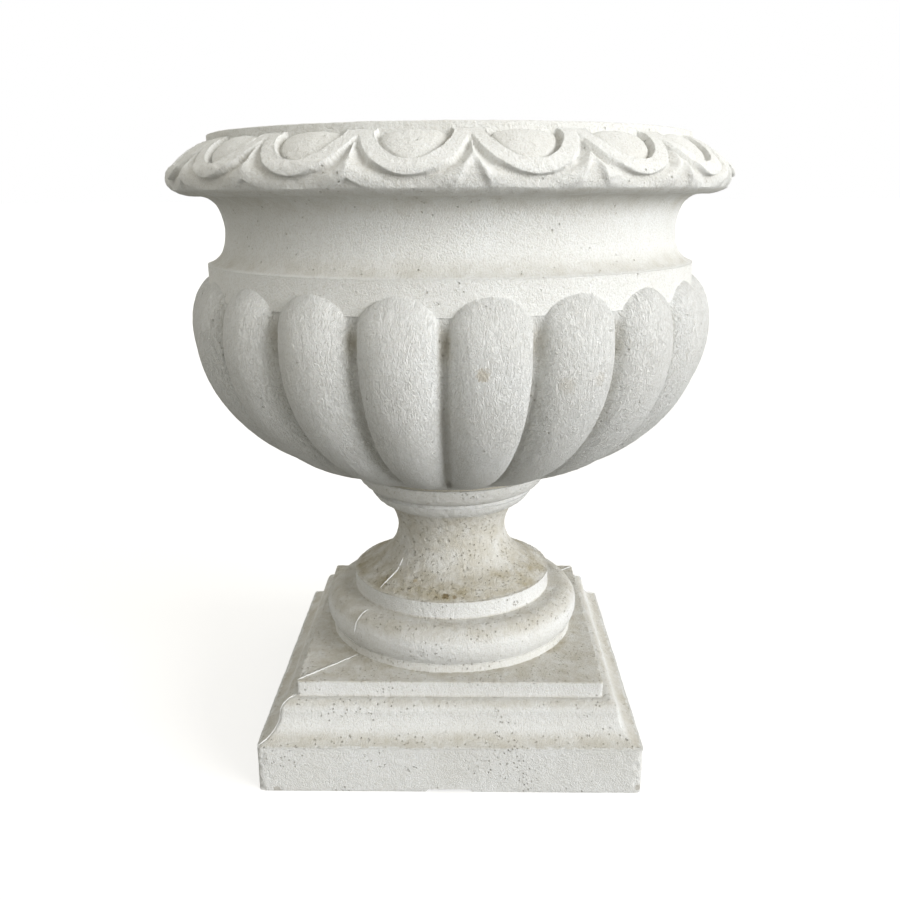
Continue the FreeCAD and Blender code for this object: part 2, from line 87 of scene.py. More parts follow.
# Rim and lip.
RIM_EDGE = (292, 613)
RIM_BREAK = (291, 638)
NOSE_TURN = 120
LIP_RADIUS = 255
LIP_FOOT = (LIP_RADIUS, 662)
LIP_TOP = 668
LIP_ROUND = 2

# Planting well.
WELL_FLOOR_RADIUS = 80
WELL_FLOOR_Z = 344
WELL_BEND = (206, 494)
MOUTH_RADIUS = 212
MOUTH_ROUND = 6

# Egg-and-dart carving. Its levels are lengths down the rim's outline from the lip. An egg is
# widest at EGG_MIDDLE and ends at EGG_TIP, and its outline would close EGG_HEAD above its middle.
EGGS = 18
EGG_PITCH = 360 / EGGS
EGG_PHASE = -5.2
EGG_HALF = 6.2
EGG_MIDDLE = 6
EGG_HEAD = 15
EGG_TIP = 43
EGG_DOME = 5.5
CUP_SIDE_GAP = 0.7
CUP_TIP_GAP = 1.0
CUP_HEAD_SHARE = 1.7
CUP_DEPTH = 7
WALL_SHARPNESS = 12
STRAP_TOP = 4
STRAP_TIP = 60.5
STRAP_POWER = 1.6
COVE_DEPTH = 7.2
CREST_SINK = 2
CREST_START = 8
CREST_FULL = 28
DART_HALF = 3.2
DART_APEX = 49
DART_APEX_SHIFT = 13

# Collar, bead and stem.
COLLAR_RADIUS = 113
COLLAR_FOOT = (91, 279)
BEAD_TOP = (95, 277)
BEAD_FOOT = (80.5, 262)
STEM_TOP = (77.5, 262)
WAIST = (64.5, 229)
THROAT = (86, 193)
FLARE_FOOT = (113, 178.5)

# Disc, torus and the ring under it.
DISC_RADIUS = 116.5
DISC_TOP = 177.5
DISC_FOOT = 158
TORUS_RADIUS = 150.5
TORUS_HALF = 21.25
TORUS_CROWN = (TORUS_RADIUS - TORUS_HALF, DISC_FOOT)
TORUS_FOOT = (TORUS_CROWN[0], DISC_FOOT - 2 * TORUS_HALF)
RING_RADIUS = 144

# Square plinth and the hollow core under it.
PLINTH_TOP = 108
CAP_HALF = 164
CAP_FOOT = 90.5
SHOULDER = (180, 79)
SLAB_HALF = 203
SLAB_TOP = 51
EDGE_ROUND = 1
CORE_HALF = 150
CORE_TOP = (121, 80)
NOTCH_HALF = 22.5
NOTCH_HEIGHT = 3


# ---------------------------------------------------------------- outlines

def arc(start, end, turn):
    """Points on an arc from start to end that turns left by turn degrees, or right if negative."""
    turn = math.radians(turn)
    chord = np.subtract(end, start)
    heading = math.atan2(chord[1], chord[0]) - turn / 2
    radius = math.hypot(*chord) / 2 / math.sin(turn / 2)
    angle = heading + turn * np.linspace(0, 1, 65)
    sweep = np.stack([np.sin(angle) - math.sin(heading), math.cos(heading) - np.cos(angle)], 1)
    return np.add(start, radius * sweep)


def line(start, end):
    """The two ends of a straight run."""
    return np.array([start, end], float)


def along(points):
    """The length from the first point to each one."""
    return np.append(0, np.cumsum(np.hypot(*np.diff(points, axis=0).T)))


def spaced(points, step):
    """The same line with evenly spaced points, no more than step apart."""
    run = along(points)
    place = np.linspace(0, run[-1], max(2, math.ceil(run[-1] / step) + 1))
    return np.stack([np.interp(place, run, points[:, k]) for k in (0, 1)], 1)


def outline(*pieces):
    """Joins (points, step) pairs end to end into one outline that keeps its corners."""
    rows = [spaced(points, step) for points, step in pieces]
    return np.concatenate([rows[0], *[row[1:] for row in rows[1:]]])


def ease(value):
    """A smooth step from 0 to 1 while value goes from 0 to 1."""
    value = np.clip(value, 0, 1)
    return value * value * (3 - 2 * value)


def fade(value, start, end):
    """0 where value is at start or before it, 1 at end or past it, and smooth between the two."""
    return ease((value - start) / (end - start))


# ---------------------------------------------------------------- surfaces

def swept(radius, z, theta):
    """Points at these radii, heights and angles about the axis."""
    theta = np.radians(theta)
    return np.stack([radius * np.sin(theta), -radius * np.cos(theta), z + 0 * radius], -1)


def turned(path, columns):
    """A (radius, z) outline turned about the axis."""
    theta = np.arange(columns) * 360 / columns
    radius, z = path[:, 0, None], path[:, 1, None]
    return swept(radius + 0 * theta, z + 0 * theta, theta + 0 * radius)


def unrolled(path, columns):
    """The same outline straightened into an upright drum of its middle radius."""
    radius = np.full(len(path), path[:, 0].mean())
    return turned(np.stack([radius, -along(path)], 1), columns)


def outward(points):
    """Unit normals of a grid that closes round its columns."""
    down = np.gradient(points, axis=0)
    across = (np.roll(points, -1, 1) - np.roll(points, 1, 1)) / 2
    normal = np.cross(down, across)
    return normal / np.maximum(np.linalg.norm(normal, axis=-1, keepdims=True), 1e-9)


def lumps(points, size, seed):
    """Smooth noise between -1 and 1 whose lumps are about size millimetres wide."""
    shift = Vector((seed * 17.3, seed * 5.1, seed * 9.7))
    flat = points.reshape(-1, 3) / size
    return np.array([noise.noise(Vector(p) + shift) for p in flat]).reshape(points.shape[:-1])


def weathered(points, swell, grain, seed):
    """Pushes a cast surface in by soft swells and a fine grain, never out."""
    swell_width, grain_width = 46, 5
    wave = lumps(points, swell_width, seed) - 1
    tooth = lumps(points, grain_width, seed + 1) - 1
    return points + outward(points) * (wave * swell / 2 + tooth * grain / 2)[..., None]


def pitted(points, count, radius, depth, seed, keep):
    """Sinks small round pits into a grid of points, at places that a seeded draw picks from keep."""
    draw = np.random.default_rng(seed)
    flat = points.reshape(-1, 3)
    normal = outward(points).reshape(-1, 3)
    sink = np.zeros(len(flat))
    for centre in draw.choice(np.flatnonzero(keep.ravel()), count, replace=False):
        size = radius * draw.uniform(0.5, 1.3)
        near = np.linalg.norm(flat - flat[centre], axis=1) / size
        sink = np.maximum(sink, depth * size / radius * ease(1 - near))
    return (flat - normal * sink[:, None]).reshape(points.shape)


def skin(name, node, points, flow, dirt_and_shade, material):
    """Makes a piece from a grid of points that closes round its columns.

    flow gives the brush strokes their coordinates: the grid unrolled where they run down the
    surface, or else the points themselves. dirt is from 0 to 1, and darkens the stone for dirt and as
    painted shade."""
    rows, columns = points.shape[:2]
    index = np.arange(rows * columns).reshape(rows, columns)
    after = np.roll(index, -1, 1)
    quads = np.stack([index[:-1], index[1:], after[1:], after[:-1]], -1).reshape(-1, 4)
    mesh = bpy.data.meshes.new(name)
    mesh.from_pydata((points.reshape(-1, 3) * MM).tolist(), [], quads.tolist())
    flow_data = mesh.attributes.new("flow", "FLOAT_VECTOR", "POINT").data
    flow_data.foreach_set("vector", (flow * MM).ravel())
    dirt_and_shade_data = mesh.attributes.new("dirt_and_shade", "FLOAT", "POINT").data
    dirt_and_shade_data.foreach_set("value", dirt_and_shade.ravel())
    mesh.shade_smooth()
    mesh.set_sharp_from_angle(angle=math.radians(48))
    mesh.materials.append(material)
    piece = bpy.data.objects.new(name, mesh)
    bpy.context.collection.objects.link(piece)
    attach(piece, "root")
    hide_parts(node)
    return piece


# ---------------------------------------------------------------- materials

def srgb(*channels):
    """A linear colour from sRGB values between 0 and 1."""
    linear = [c / 12.92 if c <= 0.04045 else ((c + 0.055) / 1.055) ** 2.4 for c in channels]
    return (*linear, 1)


# A warm grey-beige: the tone of dirt, brush strokes and pinholes, and of painted shade in hollows, creases
# and under overhangs.
DIRT_AND_SHADE = srgb(0.66, 0.625, 0.53)
TAN = srgb(0.74, 0.69, 0.58)
BROWN = srgb(0.46, 0.4, 0.27)
BOWL_PALE = srgb(0.97, 0.98, 0.985)
BOWL_WORN = srgb(0.885, 0.88, 0.86)
# The pedestal's pale and worn tones are the bowl's stone made darker: painted shade, for less light falling
# on the pedestal.
BASE_PALE_SHADED = srgb(0.92, 0.93, 0.94)
BASE_WORN_SHADED = srgb(0.81, 0.805, 0.78)

# The colour sockets of a Mix node share their names with its sockets for other kinds of value.
MIX_FIRST, MIX_SECOND, MIX_RESULT = 6, 7, 2


class Nodes:
    """Adds and links the nodes of one material."""

    def __init__(self, name):
        self.material = bpy.data.materials.new(name)
        self.material.use_nodes = True
        self.tree = self.material.node_tree
        self.shader = self.tree.nodes["Principled BSDF"]
        self.place = self.tree.nodes.new("ShaderNodeTexCoord").outputs["Object"]

    def link(self, source, target):
        self.tree.links.new(source, target)

    def attribute(self, name, output):
        """A value that skin() stored on each point of the mesh."""
        node = self.tree.nodes.new("ShaderNodeAttribute")
        node.attribute_name = name
        return node.outputs[output]

    def scaled(self, scale, place):
        """Coordinates stretched by scale per metre: one number, or one for each axis."""
        mapping = self.tree.nodes.new("ShaderNodeMapping")
        mapping.inputs["Scale"].default_value = scale if isinstance(scale, tuple) else (scale,) * 3
        self.link(place, mapping.inputs["Vector"])
        return mapping.outputs["Vector"]

    def noise(self, scale, detail=3, rough=0.55, bend=0.0, place=None):
        """Cloudy noise from 0 to 1, at scale per metre."""
        node = self.tree.nodes.new("ShaderNodeTexNoise")
        settings = {"Scale": 1, "Detail": detail, "Roughness": rough, "Distortion": bend}
        for socket, value in settings.items():
            node.inputs[socket].default_value = value
        self.link(self.scaled(scale, place or self.place), node.inputs["Vector"])
        return node.outputs["Fac"]

    def cells(self, scale):
        """The distance to the nearest of many scattered points, with scale points per metre."""
        node = self.tree.nodes.new("ShaderNodeTexVoronoi")
        node.inputs["Scale"].default_value = 1
        self.link(self.scaled(scale, self.place), node.inputs["Vector"])
        return node.outputs["Distance"]

    def ramp(self, source, low, high, start=0.0, end=1.0):
        """source taken from low..high to start..end, and held at those ends outside."""
        node = self.tree.nodes.new("ShaderNodeMapRange")
        for socket, value in zip(("From Min", "From Max", "To Min", "To Max"), (low, high, start, end)):
            node.inputs[socket].default_value = value
        self.link(source, node.inputs["Value"])
        return node.outputs["Result"]

    def math(self, kind, first, second):
        """The result of two operands, each a number or a socket."""
        node = self.tree.nodes.new("ShaderNodeMath")
        node.operation = kind
        for socket, value in zip(node.inputs, (first, second)):
            if isinstance(value, (int, float)):
                socket.default_value = value
            else:
                self.link(value, socket)
        return node.outputs["Value"]

    def mix(self, share, first, second):
        """first where share is 0 and second where it is 1; each is a colour or a socket."""
        node = self.tree.nodes.new("ShaderNodeMix")
        node.data_type = "RGBA"
        self.link(share, node.inputs["Factor"])
        for index, value in ((MIX_FIRST, first), (MIX_SECOND, second)):
            if isinstance(value, tuple):
                node.inputs[index].default_value = value
            else:
                self.link(value, node.inputs[index])
        return node.outputs[MIX_RESULT]

    def spot(self, centre, radius):
        """1 near a point of the object given in millimetres, with a ragged edge."""
        far = self.tree.nodes.new("ShaderNodeVectorMath")
        far.operation = "DISTANCE"
        self.link(self.place, far.inputs[0])
        far.inputs[1].default_value = Vector(centre) * MM
        ragged = self.math("MULTIPLY", self.noise(330, 4, 0.7), 1.4 * radius * MM)
        edge = self.math("ADD", far.outputs["Value"], ragged)
        return self.ramp(edge, 1.2 * radius * MM, 1.5 * radius * MM, 1.0, 0.0)

    def bump(self, height, distance):
        """Raises the surface by distance, in metres, where height is 1."""
        node = self.tree.nodes.new("ShaderNodeBump")
        node.inputs["Distance"].default_value = distance
        node.inputs["Strength"].default_value = 1
        self.link(height, node.inputs["Height"])
        self.link(node.outputs["Normal"], self.shader.inputs["Normal"])


def stone(name, pale, worn, stains, strokes, bend, stroke_relief, hole_spacing, hole_radius):
    """Cast stone: mottled, brushed, grainy, with pinholes and stains, and darker where the mesh says, by
    dirt and by painted shade.

    strokes is the scale of the brush strokes and bend is how far they wander."""
    nodes = Nodes(name)
    dirt_and_shade = nodes.attribute("dirt_and_shade", "Fac")
    grain = nodes.noise(600, 4, 0.75)
    brush = nodes.noise(strokes, 3, 0.62, bend, nodes.attribute("flow", "Vector"))

    per_metre = 1 / (hole_spacing * MM)
    edge = hole_radius / hole_spacing
    hole = nodes.ramp(nodes.cells(per_metre), 0.6 * edge, edge, 1.0, 0.0)
    cluster = nodes.math("ADD", nodes.noise(28, 2), nodes.math("MULTIPLY", dirt_and_shade, 0.3))
    hole = nodes.math("MULTIPLY", hole, nodes.ramp(cluster, 0.54, 0.62))

    mottle = nodes.ramp(nodes.noise(16, 4), 0.35, 0.7, 0.0, 0.3)
    colour = nodes.mix(mottle, pale, worn)
    colour = nodes.mix(nodes.ramp(grain, 0.35, 0.65, 0.0, 0.4), colour, worn)
    colour = nodes.mix(nodes.ramp(brush, 0.5, 0.66, 0.0, 0.2), colour, DIRT_AND_SHADE)
    patch = nodes.ramp(nodes.noise(52, 6, 0.65), 0.3, 0.66, 0.25, 1.0)
    # Darker where the mesh says, in ragged patches: dirt, and painted shade in hollows and under overhangs.
    colour = nodes.mix(nodes.math("MULTIPLY", dirt_and_shade, patch), colour, DIRT_AND_SHADE)
    # Pinholes are tinted darker too, a painted shade inside them.
    colour = nodes.mix(nodes.math("MULTIPLY", hole, 0.35), colour, DIRT_AND_SHADE)
    for centre, radius, tint, share in stains:
        colour = nodes.mix(nodes.math("MULTIPLY", nodes.spot(centre, radius), share), colour, tint)
    nodes.link(colour, nodes.shader.inputs["Base Color"])

    relief = nodes.math("ADD", grain, nodes.math("MULTIPLY", brush, stroke_relief))
    nodes.bump(nodes.math("SUBTRACT", relief, nodes.math("MULTIPLY", hole, 2.4)), 0.0013)
    nodes.link(nodes.ramp(grain, 0.3, 0.7, 0.86, 0.98), nodes.shader.inputs["Roughness"])
    nodes.shader.inputs["Specular IOR Level"].default_value = 0.25
    return nodes.material


def mortar():
    """Pale sandy mortar."""
    nodes = Nodes("mortar_pale")
    sand = nodes.noise(900, 4, 0.7)
    colour = nodes.mix(nodes.ramp(sand, 0.35, 0.65), srgb(0.66, 0.64, 0.59), srgb(0.76, 0.75, 0.7))
    nodes.link(colour, nodes.shader.inputs["Base Color"])
    nodes.bump(sand, 0.0008)
    nodes.shader.inputs["Roughness"].default_value = 0.95
    return nodes.material


def plastic():
    """Grey pipe with a faint drawn swirl."""
    nodes = Nodes("pipe_grey")
    swirl = nodes.noise((30, 30, 140), 3)
    colour = nodes.mix(nodes.ramp(swirl, 0.4, 0.6), srgb(0.34, 0.36, 0.38), srgb(0.4, 0.42, 0.44))
    nodes.link(colour, nodes.shader.inputs["Base Color"])
    nodes.link(nodes.ramp(swirl, 0.3, 0.7, 0.42, 0.58), nodes.shader.inputs["Roughness"])
    nodes.bump(swirl, 0.0002)
    return nodes.material


def steel():
    """Reinforcing steel with patches of rust."""
    nodes = Nodes("bar_steel")
    scale = nodes.noise(260, 4, 0.65)
    colour = nodes.mix(nodes.ramp(scale, 0.45, 0.62), srgb(0.45, 0.44, 0.43), srgb(0.42, 0.27, 0.18))
    nodes.link(colour, nodes.shader.inputs["Base Color"])
    nodes.link(nodes.ramp(scale, 0.45, 0.62, 0.4, 0.8), nodes.shader.inputs["Roughness"])
    nodes.link(nodes.ramp(scale, 0.45, 0.62, 0.9, 0.1), nodes.shader.inputs["Metallic"])
    nodes.bump(scale, 0.0003)
    return nodes.material


# ---------------------------------------------------------------- bowl

def oval(run, side, half, tip, head):
    """0 in the middle of an egg, at its widest level, and 1 on its outline.

    run goes down the rim and side across it."""
    below = (run - EGG_MIDDLE) / (tip - EGG_MIDDLE)
    above = (EGG_MIDDLE - run) / head
    stretch = np.where(run > EGG_MIDDLE, below, above)
    return (side / half) ** 2 + np.abs(stretch) ** 1.5


def cup_depth(egg):
    """Depth of the domed egg and of the groove round it."""
    dome = EGG_DOME * (1 - np.sqrt(np.clip(1 - egg, 0, 1)))
    return dome + (CUP_DEPTH - dome) * ease((egg - 0.94) * WALL_SHARPNESS)


def dart_depth(run, side, apex, brow_run, rim_run):
    """Depth outside the straps: a cove beside each, a crest between them, and a dart that splits it.

    apex, brow_run and rim_run are the levels of the dart's tip, the rim's break and its edge."""
    border = EGG_PITCH / 2
    fall = np.clip((run - STRAP_TOP) / (STRAP_TIP - STRAP_TOP), 0, None) ** STRAP_POWER
    strap_half = border * np.sqrt(np.clip(1 - fall, 0, 1))
    reach = np.clip(1 - (side / border) ** 2, 0, 1) ** (1 / STRAP_POWER)
    strap_foot = STRAP_TOP + (STRAP_TIP - STRAP_TOP) * reach
    crest_half = border - DART_HALF * np.clip((run - apex) / (rim_run - apex), 0, 1)
    across = np.clip((side - strap_half) / np.maximum(crest_half - strap_half, 0.25), 0, 1)
    down = np.clip((run - strap_foot) / np.maximum(rim_run - strap_foot, 4), 0, 1)
    crest = CREST_SINK * (1 - fade(run, CREST_START, CREST_FULL))
    cove = COVE_DEPTH * (1 - across ** 2) * (1 - down ** 1.6) + crest * across ** 2

    nose_radius = math.dist(RIM_BREAK, RIM_EDGE) / 2 / math.sin(math.radians(NOSE_TURN / 2))
    place = np.clip((run - brow_run) / (rim_run - brow_run), 0, 1) - 0.5
    bulge = nose_radius * (np.cos(np.radians(NOSE_TURN * place)) - math.cos(math.radians(NOSE_TURN / 2)))
    dart = (0.5 + 0.5 * bulge) * ease((side - crest_half) / 1.2)
    depth = np.where(side > crest_half, np.maximum(dart, crest), cove)
    strap = (side / border) ** 2 + fall
    return depth * ease((strap - 1) * 8)


def carving(run, phi, apex, brow_run, rim_run):
    """Depth under the rim's outline: run below the lip, phi degrees from an egg's middle."""
    side = np.abs(phi)
    egg = oval(run, side, EGG_HALF, EGG_TIP, EGG_HEAD)
    cup = oval(run, side, EGG_HALF + CUP_SIDE_GAP, EGG_TIP + CUP_TIP_GAP, EGG_HEAD * CUP_HEAD_SHARE)
    depth = dart_depth(run, side, apex, brow_run, rim_run)
    return depth + (cup_depth(egg) - depth) * ease((1.03 - cup) * WALL_SHARPNESS)


def bowl_rim(material):
    """The egg-and-dart moulding and the underside of the rim."""
    brow = arc(LIP_FOOT, RIM_BREAK, -28)
    nose = arc(RIM_BREAK, RIM_EDGE, -NOSE_TURN)
    underside = arc(RIM_EDGE, RIM_ROOT, -35)
    inside = line(RIM_ROOT, (RIM_ROOT[0] - 6, RIM_ROOT[1] + 3))
    path = outline((brow, 1.12), (nose, 1.12), (underside, 3), (inside, 3))
    run = along(path)
    brow_run = along(brow)[-1]
    rim_run = brow_run + along(nose)[-1]
    columns = 66 * EGGS
    theta = np.arange(columns) * 360 / columns
    plain = turned(path, columns)
    phi = (theta - EGG_PHASE + EGG_PITCH / 2) % EGG_PITCH - EGG_PITCH / 2

    # Each dart stands midway between two eggs. Those on the +X side begin higher up.
    dart_theta = (np.floor((theta - EGG_PHASE) / EGG_PITCH) + 0.5) * EGG_PITCH + EGG_PHASE
    apex = DART_APEX - DART_APEX_SHIFT * np.sign(np.sin(np.radians(dart_theta)))

    # The carver's hand wasn't quite steady.
    unsteady_run = run[:, None] + 0.5 * lumps(plain, 24, 3)
    unsteady_phi = phi + 0.09 * lumps(plain, 20, 5)
    depth = carving(unsteady_run, unsteady_phi, apex, brow_run, rim_run)
    below = run[:, None] - rim_run
    depth = depth * (1 - fade(below, 0, 20))
    points = plain - outward(plain) * depth[..., None]
    points = weathered(points, swell=0.6, grain=1.0, seed=7)
    # Darker in the carving's deepest hollows and on the rim's underside: painted shade, over a faint even
    # dirt.
    dirt_and_shade = 0.04 + 0.3 * np.clip(depth / CUP_DEPTH, 0, 1) + 0.25 * fade(below, 0, 6)
    return skin("bowl_rim", "bowl", points, unrolled(path, columns), dirt_and_shade, material)


def bowl_neck(material):
    """The hollow neck and the plain band that the lobes rise to."""
    path = outline(
        (line((RIM_ROOT[0] + 6, RIM_ROOT[1] + 4), RIM_ROOT), 4),
        (arc(RIM_ROOT, NECK_TOP, 71), 1.6),
        (arc(NECK_TOP, NECK_FOOT, 45), 1.6),
        (arc(NECK_FOOT, (BAND_RADIUS, BAND_TOP), 47), 1.6),
        (line((BAND_RADIUS, BAND_TOP), (BAND_RADIUS, BAND_FOOT)), 1.6),
        (line((BAND_RADIUS, BAND_FOOT), (BAND_RADIUS - 8, BAND_FOOT - 1)), 4),
    )
    columns = 720
    points = weathered(turned(path, columns), swell=0.8, grain=0.6, seed=11)
    height = points[..., 2]
    # Darker in the crease above the band and towards the rim's root, under the rim: painted shade, over a
    # faint even dirt.
    crease = fade(height, BAND_TOP + 21, BAND_TOP + 3) * fade(height, BAND_TOP, BAND_TOP + 2)
    dirt_and_shade = 0.06 + 0.3 * crease + 0.3 * fade(height, RIM_ROOT[1] - 22, RIM_ROOT[1] - 2)
    return skin("bowl_neck", "bowl", points, unrolled(path, columns), dirt_and_shade, material)


def ellipse(centre, half_width, half_height, angle):
    """Points of an upright ellipse at the belly's level, at these angles above its outermost point."""
    return np.stack([centre + half_width * np.cos(angle), BELLY_Z + half_height * np.sin(angle)], 1)


def lobe_path():
    """The crest of a lobe as (radius, z), from its head on the band down to the bowl's base."""
    head = np.radians(np.linspace(84, 0, 80))
    upper = ellipse(BELLY_CREST - BROW_DEPTH, BROW_DEPTH, BROW_HEIGHT, head)
    fall = math.asin((BELLY_Z - BOWL_BASE) / CREST_DROP)
    lower = ellipse(CREST_CENTRE, BELLY_CREST - CREST_CENTRE, CREST_DROP, np.linspace(0, -fall, 160))
    return outline((upper, 2.1), (lower, 5.6))


def ground_radius(z):
    """The radius of the bowl between its lobes."""
    level = np.clip(1 - ((BELLY_Z - z) / GROUND_DROP) ** 2, 0, 1)
    below = GROUND_CENTRE + (BELLY_GROUND - GROUND_CENTRE) * np.sqrt(level)
    below = below + (FOOT_RADIUS - below) * fade(z, BOWL_BASE + 22, BOWL_BASE + 2)
    return np.where(z < BELLY_Z, below, BELLY_GROUND)


def valley_radius(z, phi):
    """The radius of the valley between two lobes: hollow in its middle, and flush with the band above."""
    ground = ground_radius(z)
    depth = GULLY_DEPTH * fade(z, BOWL_BASE + 6, BOWL_BASE + 26)
    from_middle = (LOBE_PITCH / 2 - np.abs(phi)) / (LOBE_PITCH / 2 - LOBE_HALF)
    valley = ground - depth * np.clip(1 - from_middle ** 2, 0, 1)
    valley = valley + (BAND_RADIUS - 0.7 - valley) * fade(z, BAND_FOOT - 42, BAND_FOOT)
    return valley - fade(z, BAND_FOOT, BAND_FOOT + 2)


def bowl_lobes(material):
    """The swelling lobes with arched heads, the valleys between them and the bowl's foot."""
    path = lobe_path()
    columns = 60 * LOBES
    theta = np.arange(columns) * 360 / columns
    crest, z = path[:, 0, None], path[:, 1, None]
    phi = theta % LOBE_PITCH - LOBE_PITCH / 2
    wander = lumps(turned(path, columns), 60, 21)
    side = np.abs(phi + 0.18 * wander) / LOBE_HALF
    root = ground_radius(z) - 2
    head = np.clip((z - ARCH_SPRING) / (ARCH_TOP - ARCH_SPRING), 0, 1)
    half = np.sqrt(np.clip(1 - head ** 2, 0.0001, 1))
    swell = np.sqrt(np.clip(1 - (side / half) ** 2.1, 0, 1))
    radius = np.maximum(root + (crest - root) * swell, valley_radius(z, phi))
    points = swept(radius, z + 0 * radius, theta + 0 * radius)
    points = weathered(points, swell=0.9, grain=0.8, seed=23)
    # The gullies darken towards their tops, by dirt and painted shade; near the base and on the foot the
    # bowl darkens as painted shade under it.
    gully = ease((side - 0.88) / 0.15)
    gully_dirt_and_shade = 0.25 + 0.4 * fade(z, BELLY_Z - 14, BELLY_Z + 11)
    gully_dirt_and_shade = gully_dirt_and_shade * (1 - 0.85 * fade(z, BAND_FOOT - 22, BAND_FOOT))
    dirt_and_shade = gully * gully_dirt_and_shade + 0.1 * fade(z, BOWL_BASE + 64, BOWL_BASE + 4) + 0 * radius

    foot_radii = (FOOT_RADIUS - 1.5, FOOT_RADIUS - 9, DRAIN_RADIUS - 1)
    foot = np.array([(radius, JOINT_TOP) for radius in foot_radii])
    points = np.concatenate([points, turned(foot, columns)])
    dirt_and_shade = np.concatenate([dirt_and_shade, np.full((len(foot), columns), 0.2)])
    flow = unrolled(np.concatenate([path, foot]), columns)
    return skin("bowl_lobes", "bowl", points, flow, dirt_and_shade, material)


def bowl_well(material):
    """The lip, the wall and the floor of the planting well, and the hole in the floor."""
    path = outline(
        (line((DRAIN_RADIUS, BOWL_BASE + 0.5), (DRAIN_RADIUS, WELL_FLOOR_Z)), 4),
        (line((DRAIN_RADIUS, WELL_FLOOR_Z), (WELL_FLOOR_RADIUS, WELL_FLOOR_Z)), 4),
        (arc((WELL_FLOOR_RADIUS, WELL_FLOOR_Z), WELL_BEND, 80), 4),
        (line(WELL_BEND, (MOUTH_RADIUS, LIP_TOP - MOUTH_ROUND)), 4),
        (arc((MOUTH_RADIUS, LIP_TOP - MOUTH_ROUND), (MOUTH_RADIUS + MOUTH_ROUND, LIP_TOP), -90), 2),
        (line((MOUTH_RADIUS + MOUTH_ROUND, LIP_TOP), (LIP_RADIUS - LIP_ROUND, LIP_TOP)), 3),
        (arc((LIP_RADIUS - LIP_ROUND, LIP_TOP), (LIP_RADIUS, LIP_TOP - LIP_ROUND), -90), 1),
        (line((LIP_RADIUS, LIP_TOP - LIP_ROUND), (LIP_RADIUS, LIP_FOOT[1] - 10)), 2),
    )
    columns = 540
    points = weathered(turned(path, columns), swell=0.8, grain=0.6, seed=31)
    # Darker towards the well's floor.
    dirt_and_shade = 0.15 + 0.6 * fade(points[..., 2], WELL_BEND[1] + 26, WELL_FLOOR_Z + 26)
    return skin("bowl_well", "bowl", points, unrolled(path, columns), dirt_and_shade, material)


# ---------------------------------------------------------------- pedestal

def pedestal_stem(material):
    """The collar, stem, disc and torus, turned as one piece."""
    widest = (TORUS_RADIUS, DISC_FOOT - TORUS_HALF)
    tuck = (142.2, 116.2)
    crease = (141.4, 115.3)
    ring_top = (142.6, 114.9)
    path = outline(
        (line((DRAIN_RADIUS - 1, JOINT_FOOT), (COLLAR_RADIUS, JOINT_FOOT)), 12),
        (arc((COLLAR_RADIUS, JOINT_FOOT), COLLAR_FOOT, -70), 1.4),
        (line(COLLAR_FOOT, BEAD_TOP), 1.4),
        (arc(BEAD_TOP, BEAD_FOOT, -40), 1.4),
        (line(BEAD_FOOT, STEM_TOP), 1),
        (arc(STEM_TOP, WAIST, 42), 1.3),
        (arc(WAIST, THROAT, 52), 1.3),
        (line(THROAT, FLARE_FOOT), 1.3),
        (line(FLARE_FOOT, (DISC_RADIUS, DISC_TOP)), 2),
        (line((DISC_RADIUS, DISC_TOP), (DISC_RADIUS, DISC_FOOT)), 1.8),
        (line((DISC_RADIUS, DISC_FOOT), TORUS_CROWN), 2.5),
        (arc(TORUS_CROWN, widest, -90), 1.8),
        (arc(widest, tuck, -43), 1.8),
        (line(tuck, crease), 1),
        (line(crease, ring_top), 1),
        (line(ring_top, (RING_RADIUS, PLINTH_TOP - 1)), 1.8),
    )
    points = weathered(turned(path, 480), swell=1.2, grain=1.1, seed=41)
    height = points[..., 2]
    wide = np.hypot(points[..., 0], points[..., 1])
    shaft = np.abs(height - 222) < 45
    bead_edge = (np.abs(height - 264) < 2.5) & (wide > STEM_TOP[0] + 0.5)
    disc_and_torus = (height < 182) & (wide > 100)
    points = pitted(points, count=150, radius=1.9, depth=1.6, seed=43, keep=shaft)
    points = pitted(points, count=70, radius=3.2, depth=1.5, seed=45, keep=bead_edge)
    points = pitted(points, count=90, radius=2.0, depth=1.2, seed=47, keep=disc_and_torus)
    # The shelf on the disc and the crown of the torus carry settled dirt. The stem under the bowl is darker
    # by dirt and painted shade, and the collar under the lobes and the ring under the torus by painted
    # shade.
    shelf = fade(height, THROAT[1] + 7, THROAT[1] - 7) * fade(height, DISC_TOP - 1.5, DISC_TOP + 1.5)
    crown = fade(height, DISC_FOOT - 18, DISC_FOOT - 6) * (height < DISC_FOOT + 0.5)
    stem = fade(height, STEM_TOP[1] + 2, STEM_TOP[1] - 4) * (height > DISC_TOP - 1.5)
    collar = height > BEAD_TOP[1] + 1
    ring = height < TORUS_FOOT[1]
    dirt_and_shade = 0.04 + 0.35 * shelf + 0.5 * crown + 0.55 * stem + 0.12 * collar + 0.2 * ring
    return skin("pedestal_stem", "pedestal", points, points, dirt_and_shade, material)


